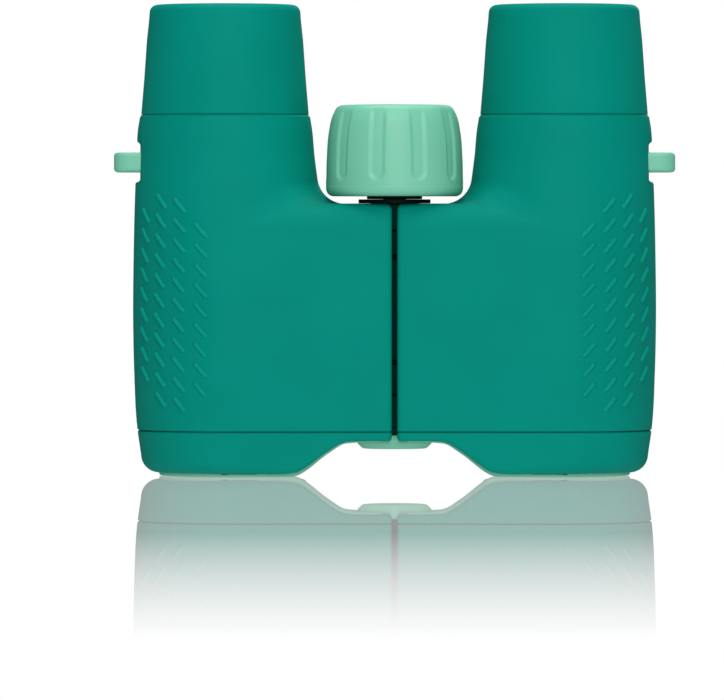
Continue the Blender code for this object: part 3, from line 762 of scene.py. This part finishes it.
def moulded_material(name, dark, light, roughness, grain_mm, height_mm, **sockets):
    """Rubber or plastic: a moulded grain, a slow drift of colour and an uneven sheen."""
    material, tree, shader = principled(name, light, roughness, **sockets)
    tint(tree, shader, noise(tree, scale=60, detail=3.0), dark, light)
    patches = noise(tree, scale=140, detail=4.0)
    sheen = spread(tree, patches, low=roughness - 0.04, high=roughness + 0.05)
    tree.links.new(sheen, shader.inputs["Roughness"])
    bump(tree, shader, noise(tree, scale=1 / (grain_mm * MM), detail=2.0), height_mm)
    return material


def metal_material(name, dark, light, roughness):
    """Metal with fine turning marks."""
    material, tree, shader = principled(name, light, roughness, metallic=1.0)
    marks = noise(tree, scale=900, detail=3.0, stretch=(0.15, 0.15, 4.0))
    tint(tree, shader, marks, dark, light)
    sheen = spread(tree, marks, low=roughness - 0.06, high=roughness + 0.1)
    tree.links.new(sheen, shader.inputs["Roughness"])
    bump(tree, shader, marks, height_mm=0.01)
    return material


def glass_material():
    """Lens glass with a thin coating and the faint unevenness of its polish."""
    material, tree, shader = principled(
        "coated_glass_finish", (0.86, 0.94, 0.92), 0.02, Transmission_Weight=1.0, IOR=1.52,
        Thin_Film_Thickness=310.0, Thin_Film_IOR=1.38,
    )
    haze = spread(tree, noise(tree, scale=300, detail=2.0), low=0.0, high=0.03)
    tree.links.new(haze, shader.inputs["Roughness"])
    drift = noise(tree, scale=40, detail=1.0)
    tint(tree, shader, drift, dark=(0.82, 0.92, 0.9), light=(0.88, 0.95, 0.94))
    return material


# A finish for each slot of the record.  The grip bars have a lighter rubber, which is a painted highlight,
# and painted_shade_teal is painted shade for the barrel frames and the sleeves over their knuckles.  The
# black plastic's green tint is a painted reflection of the teal rubber.  Numbers: dark and light colour,
# roughness, grain and bump height in millimetres.
FINISHES = {
    "teal_rubber": moulded_material(
        "teal_rubber_finish", (0.0, 0.25, 0.194), (0.0, 0.266, 0.207), 0.62, 0.35, 0.012,
        Specular_IOR_Level=0.04,
    ),
    # Painted highlight: a lighter teal for the grip bars, for the light that their raised faces catch
    "bar_highlight_rubber": moulded_material(
        "bar_highlight_rubber_finish", (0.0, 0.285, 0.222), (0.0, 0.3, 0.235), 0.55, 0.35, 0.008,
        Specular_IOR_Level=0.06,
    ),
    "mint_plastic": moulded_material(
        "mint_plastic_finish", (0.178, 0.58, 0.402), (0.193, 0.605, 0.422), 0.46, 0.3, 0.008,
        Specular_IOR_Level=0.5,
    ),
    # Near-black plastic whose green tint is a painted reflection of the teal rubber around it
    "black_plastic": moulded_material(
        "black_plastic_teal_bounce_finish", (0.001, 0.018, 0.012), (0.002, 0.024, 0.017), 0.5, 0.25, 0.01,
        Specular_IOR_Level=0.1,
    ),
    # Painted shade: a dark teal that stands in for the shade deep in the hinge's gap
    "painted_shade_teal": moulded_material(
        "painted_shade_teal_finish", (0.0, 0.055, 0.036), (0.0, 0.065, 0.043), 0.6, 0.25, 0.01,
        Specular_IOR_Level=0.02,
    ),
    "steel": metal_material("steel_finish", (0.42, 0.42, 0.43), (0.56, 0.56, 0.57), 0.3),
    "brass": metal_material("brass_finish", (0.6, 0.42, 0.16), (0.74, 0.54, 0.24), 0.3),
    "coated_glass": glass_material(),
}


# Pieces


def casing(meshes):
    """The rubber armour and the bumper of both halves."""
    for label, side in SIDES.items():
        for kind, node in (("casing", "main_armour"), ("bumper", "front_armour")):
            bm, shading = meshes[kind]
            obj = mesh_object(f"{label}_{kind}", bm.copy(), side, shading)
            place(obj, f"{label}_half", "teal_rubber", FINISHES["teal_rubber"], f"{label}_{node}")


def casing_meshes():
    """Armour and bumper, each with rounded rims and a lip in the seam above it."""
    low_open, high_open = SEAM_LOW + SEAM_EDGE, SEAM_TOP - SEAM_EDGE
    skin = field_surface(casing_field, *CASING_BOX, CASING_STEP, low_open, high_open)
    lip = rim_rows(SEAM_EDGE, SEAM_DEPTH, EYECUP_LOW - SEAM_TOP - SEAM_CLEARANCE)
    casing_ends = ((low_open, -1, rim_rows(SEAM_EDGE)), (high_open, 1, lip))
    bumper_open = BUMPER_TOP - SEAM_EDGE
    low = (CASING_BOX[0][0], -BUMPER_REACH, bumper_open - BUMPER_ROWS * BUMPER_STEP)
    high = (CASING_BOX[1][0], BUMPER_REACH, 0.0)
    bumper_skin = field_surface(bumper_field, low, high, BUMPER_STEP, None, bumper_open)
    bumper_lip = rim_rows(SEAM_EDGE, SEAM_DEPTH, SEAM_LOW - BUMPER_TOP - SEAM_CLEARANCE)
    return {
        "casing": close_rims(*skin, casing_ends),
        "bumper": close_rims(*bumper_skin, ((bumper_open, 1, bumper_lip),)),
    }


# Columns of grip bars: angle from the front, number of bars, height of the lowest
GRIP_COLUMNS = ((17.0, 9, 16.7), (31.4, 11, 13.93), (45.8, 11, 14.79), (60.9, 9, 19.62))
GRIP_BOW = math.radians(1.4)  # how much nearer the front a column is at the grip's ends
GRIP_MIDDLE = 30.0
GRIP_REACH = 20.0
GRIP_PITCH = 3.785
GRIP_LEAN = math.radians(43)
GRIP_LENGTH = 3.9
GRIP_HALF_WIDTH = 0.5
GRIP_HEIGHT = 0.42
GRIP_SWELL = 0.75  # how fast a bar rises from its edge
GRIP_SKIRT = 0.02  # how far it goes on past its edge
GRIP_SINK = 0.04  # how far it lies under the skin there
GRIP_ROOT = 0.3  # how far its under side is below the skin


def on_barrel(angle, z):
    """The point of the barrel's skin at an angle from the front, and the skin's normal there."""
    centre = smooth(BARREL, z, 1)
    width = smooth(BARREL, z, 2)
    depth = smooth(BARREL, z, 3)
    spot = np.stack([centre + width * np.sin(angle), -depth * np.cos(angle), z], axis=-1)
    normal = gradient(lambda p: barrel_field(*p.T), spot.reshape(-1, 3)).reshape(spot.shape)
    return spot, normal / np.linalg.norm(normal, axis=-1, keepdims=True)


def grip_bar(bm, angle, z_middle, face):
    """One raised bar with round ends, swelling out of the skin.  face is 1 in front and -1 behind."""
    along_steps, across_steps = 18, 8
    straight = GRIP_LENGTH / 2 - GRIP_HALF_WIDTH
    s = np.linspace(-1, 1, along_steps + 1)[:, None] * (GRIP_LENGTH / 2 + GRIP_SKIRT)
    t = np.linspace(-1, 1, across_steps + 1)[None, :] * (GRIP_HALF_WIDTH + GRIP_SKIRT)
    s, t = np.broadcast_arrays(s, t)
    distance = np.hypot(np.maximum(np.abs(s) - straight, 0.0), t) / GRIP_HALF_WIDTH
    height = GRIP_HEIGHT * np.clip(1 - distance**2, 0.0, 1.0) ** GRIP_SWELL - GRIP_SINK
    sideways = s * math.sin(GRIP_LEAN) + t * math.cos(GRIP_LEAN)
    z = z_middle + s * math.cos(GRIP_LEAN) - t * math.sin(GRIP_LEAN)
    radius = smooth(BARREL, np.array([z_middle]), 2)[0]
    spot, normal = on_barrel(angle + sideways / radius, z)
    top = spot + normal * height[..., None]
    bottom = spot - normal * GRIP_ROOT
    flip = np.array([1.0, face, 1.0])
    upper, lower = (
        [[bm.verts.new(point) for point in row] for row in layer * flip] for layer in (top, bottom)
    )
    for i in range(along_steps):
        for j in range(across_steps):
            bm.faces.new((upper[i][j], upper[i + 1][j], upper[i + 1][j + 1], upper[i][j + 1]))
            bm.faces.new((lower[i][j], lower[i][j + 1], lower[i + 1][j + 1], lower[i + 1][j]))
    border = [(i, 0) for i in range(along_steps)] + [(along_steps, j) for j in range(across_steps)]
    border += [(i, across_steps) for i in range(along_steps, 0, -1)]
    border += [(0, j) for j in range(across_steps, 0, -1)]
    for (i, j), (k, m) in zip(border, border[1:] + border[:1]):
        bm.faces.new((upper[i][j], lower[i][j], lower[k][m], upper[k][m]))


def grip_bars():
    """The bars on the front and back of both barrels."""
    bm = bmesh.new()
    for face in (1, -1):
        for angle_deg, count, lowest in GRIP_COLUMNS:
            for i in range(count):
                z = lowest + GRIP_PITCH * i
                bow = GRIP_BOW * ((z - GRIP_MIDDLE) / GRIP_REACH) ** 2
                grip_bar(bm, math.radians(angle_deg) - bow, z, face)
    bmesh.ops.recalc_face_normals(bm, faces=bm.faces)
    for label, side in SIDES.items():
        obj = mesh_object(f"{label}_grip_bars", bm.copy(), side)
        # The bars' lighter teal is a painted highlight
        place(obj, f"{label}_half", "teal_rubber", FINISHES["bar_highlight_rubber"])
    bm.free()


# Outlines from here on: radius, height, fillet


def eyecups():
    corners = [
        (12.15, TOTAL_HEIGHT, 0.35),
        (14.4, TOTAL_HEIGHT, 1.5),
        (14.6, 87.5, 2.0),
        (15.02, 83.6, 5.0),
        (15.55, 76.0, 5.0),
        (16.12, EYECUP_LOW, 0.25),
        (13.35, EYECUP_LOW, 0.0),
        (13.35, 79.1, 0.0),
        (12.0, 80.0, 0.0),
    ]
    for label, side in SIDES.items():
        obj = turned(f"{label}_eyecup_rubber", corners, (side * AXIS_X, 0.0))
        body = "left_half" if side < 0 else "dioptre_eyecup"
        place(obj, body, "teal_rubber", FINISHES["teal_rubber"], f"{label}_eyecup")


def eyepieces():
    """The ends of the optics that can be seen: eyepiece cell and lens, objective cell and lens."""
    rim = [(9.4, 80.2, 0), (8.3, 80.2, 0.1), (8.3, 80.6, 0.1), (9.2, 81.2, 0.2)]
    rim += [(10.8, 81.2, 0.3), (11.6, 80.6, 0.3)]
    cell = [(9.4, 63.6, 0)] + rim + [(11.6, 63.6, 0)]
    nose = [(11.1, 2.5, 0.1), (11.1, 3.5, 0.1), (11.9, 3.5, 0), (11.9, 16.0, 0)]
    nose += [(13.0, 16.0, 0), (13.0, 9.2, 0), (12.5, 9.2, 0), (12.5, 2.5, 0)]
    for label, side in SIDES.items():
        centre = (side * AXIS_X, 0.0)
        eye_body = "left_half" if side < 0 else "dioptre_cell"
        obj = turned(f"{label}_eye_cell", cell, centre)
        place(obj, eye_body, "black_plastic", FINISHES["black_plastic"], f"{label}_eyepiece_cell")
        obj = turned(f"{label}_eye_glass", lens_corners(9.1, 77.0, 79.4, 1.5, 0.8), centre)
        place(obj, eye_body, "coated_glass", FINISHES["coated_glass"], f"{label}_eye_lens")
        obj = turned(f"{label}_nose_cell", nose, centre)
        place(obj, f"{label}_half", "black_plastic", FINISHES["black_plastic"], f"{label}_objective_cell")
        obj = turned(f"{label}_front_glass", lens_corners(11.6, 4.5, 6.6, 0.6, 1.0), centre)
        place(obj, f"{label}_half", "coated_glass", FINISHES["coated_glass"], f"{label}_objective_crown")


def from_field(field, box, step, kind, node):
    """A closed mint piece on both halves whose whole shape is one field."""
    bm, shading = close_rims(*field_surface(field, *box, step), ())
    for label, side in SIDES.items():
        obj = mesh_object(f"{label}_{kind}", bm.copy(), side, shading)
        place(obj, f"{label}_half", "mint_plastic", FINISHES["mint_plastic"], f"{label}_{node}")
    bm.free()


def covers_and_lugs():
    from_field(lug_field, LUG_BOX, LUG_STEP, "lug", "strap_lug")
    from_field(cover_field, COVER_BOX, COVER_STEP, "cover", "front_cover")


# Sleeves over the knuckles: the lowest covers the pin and washer above the end cap
KNUCKLE_BANDS = {
    "left": ((7.95, 9.3), (9.4, 15.4), (22.2, 28.6), (38.4, 41.4), (47.2, 51.8)),
    "right": ((15.8, 21.4), (42.4, 46.8)),
}
KNUCKLE_INNER_R = 5.9
KNUCKLE_R = 6.62
KNUCKLE_EDGE = 0.3


def knuckle_sleeves():
    """The smooth faces of the hinge, over the barrel frames' own knuckles, in a dark teal that is painted
    shade for the deep gap between the halves.
    """
    for label, spans in KNUCKLE_BANDS.items():
        for number, (low, high) in enumerate(spans):
            corners = [(KNUCKLE_INNER_R, low, 0), (KNUCKLE_INNER_R, high, 0)]
            corners += [(KNUCKLE_R, high, KNUCKLE_EDGE), (KNUCKLE_R, low, KNUCKLE_EDGE)]
            obj = turned(f"{label}_knuckle_{number}", corners, (0.0, HINGE_Y), steps=96)
            place(obj, f"{label}_half", "black_plastic", FINISHES["painted_shade_teal"])


# The wheel's flutes: number, angle of the first, section, where they end, and the line cut below them
FLUTES = 10
FLUTE_PHASE = math.radians(-69)
FLUTE_STEPS = 48
FLUTE_DEPTH = 0.38
FLUTE_HALF_WIDTH = 1.75
FLUTE_FLOOR = 0.5  # share of a flute's width that is flat
FLUTE_FOOT = 58.2
FLUTE_HEAD = 71.0
FLUTE_RUNOUT = 3.0
LINE_Z = 55.6
LINE_HALF_WIDTH = 0.14
LINE_DEPTH = 0.05
SKIN_LEAST_R = 10.9
SKIN_START = 1.5


def eased(x):
    """A smooth step from 0 to 1."""
    x = min(max(x, 0.0), 1.0)
    return x * x * (3 - 2 * x)


def flute(angle, r, z):
    """How deep the wheel's skin is cut at an angle and height; its inner walls are not cut."""
    if r < SKIN_LEAST_R or z < WHEEL_FOOT + SKIN_START:
        return 0.0
    if abs(z - LINE_Z) < LINE_HALF_WIDTH:
        return LINE_DEPTH
    pitch = 2 * math.pi / FLUTES
    nearest = (angle - FLUTE_PHASE + pitch / 2) % pitch - pitch / 2
    away = math.hypot(nearest * r, max(FLUTE_FOOT - z, 0.0)) / FLUTE_HALF_WIDTH
    wall = eased((1 - away) / (1 - FLUTE_FLOOR))
    return FLUTE_DEPTH * wall * eased((FLUTE_HEAD - z) / FLUTE_RUNOUT)


def wheel_corners():
    """The wheel's outline, with enough points on its outer side to carry the flutes."""
    skin = ((55.2, 13.16), (61.0, 13.05), (65.9, 12.66), (68.9, 12.0), (69.9, 11.55))
    rows = 64
    corners = [(3.4, 66.5, 0), (3.4, 69.2, 0), (7.9, 69.2, 0), (7.9, WHEEL_TOP, 0.25)]
    corners += [(9.6, WHEEL_TOP, 0), (10.3, 71.02, 0), (10.85, 70.78, 0), (11.28, 70.4, 0)]
    for i in range(rows + 1):
        z = skin[-1][0] - (skin[-1][0] - skin[0][0]) * i / rows
        corners.append((float(smooth(skin, np.array([z]), 1)[0]), z, 0))
    corners += [(13.08, 54.65, 0), (12.85, 54.15, 0), (12.45, 53.8, 0), (11.95, WHEEL_FOOT, 0)]
    corners += [(11.2, WHEEL_FOOT, 0.2), (10.2, 65.9, 0), (5.2, 65.9, 0), (5.2, 54.5, 0)]
    return corners + [(2.5, 54.5, 0), (2.5, 66.5, 0)]


def centre_train():
    """The wheel with its cap and collar, the flange under it and the hinge's end cap."""
    centre = (0.0, HINGE_Y)
    mint, black = FINISHES["mint_plastic"], FINISHES["black_plastic"]
    wheel = turned("focus_wheel_rim", wheel_corners(), centre, FLUTES * FLUTE_STEPS, flute)
    place(wheel, "focus_wheel", "mint_plastic", mint, "focus_wheel")
    cap = [(0, 70.75, 0), (6.9, 70.85, 0), (7.5, 70.6, 0.2), (7.5, 69.6, 0), (0, 69.6, 0)]
    place(turned("wheel_cap_disc", cap, centre), "focus_wheel", "mint_plastic", mint, "wheel_cap")
    collar = [(2.5, 53.05, 0), (2.5, 54.1, 0), (5.3, 54.1, 0), (5.3, 53.05, 0.1)]
    ring = turned("wheel_collar_ring", collar, centre)
    place(ring, "focus_wheel", "black_plastic", black, "wheel_collar")
    tube = [(2.6, 40.6, 0), (2.6, 53.0, 0), (6.9, 53.0, 0.12), (6.9, 52.25, 0.05)]
    tube += [(4.6, 52.25, 0), (4.6, 40.6, 0)]
    place(turned("hinge_tube_disc", tube, centre), "left_half", "black_plastic", black, "hinge_tube")
    end_cap = [(0, 5.25, 0), (6.1, 5.25, 0.9), (7.2, 6.3, 0.8), (7.2, 7.9, 0.15)]
    end_cap += [(5.2, 7.9, 0), (5.2, 6.9, 0), (0, 6.9, 0)]
    place(turned("hinge_cap", end_cap, centre), "left_half", "mint_plastic", mint, "hinge_end_cap")


def finish_cad_nodes():
    """Every CAD node that stays in view gets its slot's finish, and the barrel frames a dark teal that is
    painted shade, for the shade deep in the hinge's gap.
    """
    slots = {row["node"]: row["material_slot"] for row in frame["record"]["subparts"]}
    for name, obj in frame["nodes"].items():
        if obj.hide_render:
            continue
        # Painted shade: the barrel frames get a dark teal for the shade in the hinge's gap, not their
        # slot's finish
        finish = "painted_shade_teal" if name.endswith("_chassis") else slots[name]
        for material_slot in obj.material_slots:
            material_slot.material = FINISHES[finish]


# Stage

FLOOR_RADIUS_M = 6.0
FLOOR_DROP_M = 0.0001
FLOOR_BOUNCE = 0.8  # how bright the table is as a light on the object
MIRROR_SHARE = 0.86  # how much of a real reflection the table shows under the object
MIRROR_FADE_M = (0.29, 0.61)  # distances from the middle where it starts to fade and is gone
WORLD_FILL = 0.06


def math_node(tree, operation, first, second):
    node = tree.nodes.new("ShaderNodeMath")
    node.operation = operation
    tree.links.new(first, node.inputs[0])
    tree.links.new(second, node.inputs[1])
    return node.outputs["Value"]


def floor_material():
    """White light, mixed with a mirror that fades away from the object."""
    material = bpy.data.materials.new("floor_white")
    material.use_nodes = True
    tree = material.node_tree
    tree.nodes.remove(tree.nodes["Principled BSDF"])
    out = tree.nodes["Material Output"]
    white = tree.nodes.new("ShaderNodeEmission")
    paths = tree.nodes.new("ShaderNodeLightPath")
    bounce = spread(tree, paths.outputs["Is Diffuse Ray"], 1.0, FLOOR_BOUNCE, start=0.0, end=1.0)
    tree.links.new(bounce, white.inputs["Strength"])
    gloss = tree.nodes.new("ShaderNodeBsdfGlossy")
    gloss.inputs["Color"].default_value = (1, 1, 1, 1)
    gloss.inputs["Roughness"].default_value = 0.0
    mix = tree.nodes.new("ShaderNodeMixShader")
    coordinates = tree.nodes.new("ShaderNodeTexCoord")
    length = tree.nodes.new("ShaderNodeVectorMath")
    length.operation = "LENGTH"
    fresnel = tree.nodes.new("ShaderNodeFresnel")
    fresnel.inputs["IOR"].default_value = 1.5
    tree.links.new(coordinates.outputs["Object"], length.inputs[0])
    fade = spread(tree, length.outputs["Value"], MIRROR_SHARE, 0.0, *MIRROR_FADE_M)
    mirrored = math_node(tree, "MULTIPLY", fade, fresnel.outputs["Fac"])
    tree.links.new(mirrored, mix.inputs["Fac"])
    tree.links.new(white.outputs["Emission"], mix.inputs[1])
    tree.links.new(gloss.outputs["BSDF"], mix.inputs[2])
    tree.links.new(mix.outputs["Shader"], out.inputs["Surface"])
    return material


def floor():
    """A glossy white table, which the object itself doesn't mirror."""
    bm = bmesh.new()
    bmesh.ops.create_circle(bm, cap_ends=True, segments=96, radius=FLOOR_RADIUS_M)
    mesh = bpy.data.meshes.new("floor")
    bm.to_mesh(mesh)
    bm.free()
    mesh.materials.append(floor_material())
    obj = bpy.data.objects.new("floor", mesh)
    obj.location.z = -FLOOR_DROP_M
    bpy.context.scene.collection.objects.link(obj)
    obj.visible_glossy = False


def area_light(name, place_m, target_m, size_m, power):
    """A rectangular lamp that looks at the target."""
    data = bpy.data.lights.new(name, "AREA")
    data.shape = "RECTANGLE"
    data.size, data.size_y = size_m
    data.energy = power
    obj = bpy.data.objects.new(name, data)
    obj.location = place_m
    obj.rotation_euler = (Vector(target_m) - Vector(place_m)).to_track_quat("-Z", "Y").to_euler()
    bpy.context.scene.collection.objects.link(obj)
    return obj


def world():
    """White where it is seen past the object or in the table, and a dim even fill elsewhere."""
    scene_world = bpy.data.worlds.new("studio")
    bpy.context.scene.world = scene_world
    scene_world.use_nodes = True
    tree = scene_world.node_tree
    background = tree.nodes["Background"]
    paths = tree.nodes.new("ShaderNodeLightPath")
    clear = math_node(
        tree, "MAXIMUM", paths.outputs["Is Camera Ray"], paths.outputs["Is Singular Ray"]
    )
    strength = spread(tree, clear, WORLD_FILL, 1.0, start=0.0, end=1.0)
    background.inputs["Color"].default_value = (1, 1, 1, 1)
    tree.links.new(strength, background.inputs["Strength"])


def studio():
    world()
    floor()
    middle = (0.0, 0.0, 0.045)
    area_light("key", (0.03, -1.0, 0.75), middle, size_m=(0.7, 0.5), power=7.3)
    area_light("front_fill", (0.1, -1.3, 0.1), middle, size_m=(0.5, 0.5), power=4.0)
    area_light("top", (0.0, 0.1, 0.9), middle, size_m=(0.8, 0.5), power=6.0)
    back = area_light("back_fill", (0.3, 1.1, 0.5), middle, size_m=(0.8, 0.6), power=12.0)
    back.visible_glossy = False


def camera():
    """A long lens, level with the object's middle and looking slightly down."""
    data = bpy.data.cameras.new("camera")
    data.sensor_width = 36.0
    data.lens = 398.0
    obj = bpy.data.objects.new("camera", data)
    obj.location = (0.0, -1.540, 0.04827)
    target = Vector((-0.00626, 0.0, 0.02404))
    obj.rotation_euler = (target - obj.location).to_track_quat("-Z", "Y").to_euler()
    data.clip_start, data.clip_end = 0.05, 30.0
    bpy.context.scene.collection.objects.link(obj)
    bpy.context.scene.camera = obj


camera()
studio()
bpy.context.scene.view_settings.view_transform = "Standard"
casing(casing_meshes())
covers_and_lugs()
grip_bars()
eyecups()
eyepieces()
knuckle_sleeves()
centre_train()
finish_cad_nodes()
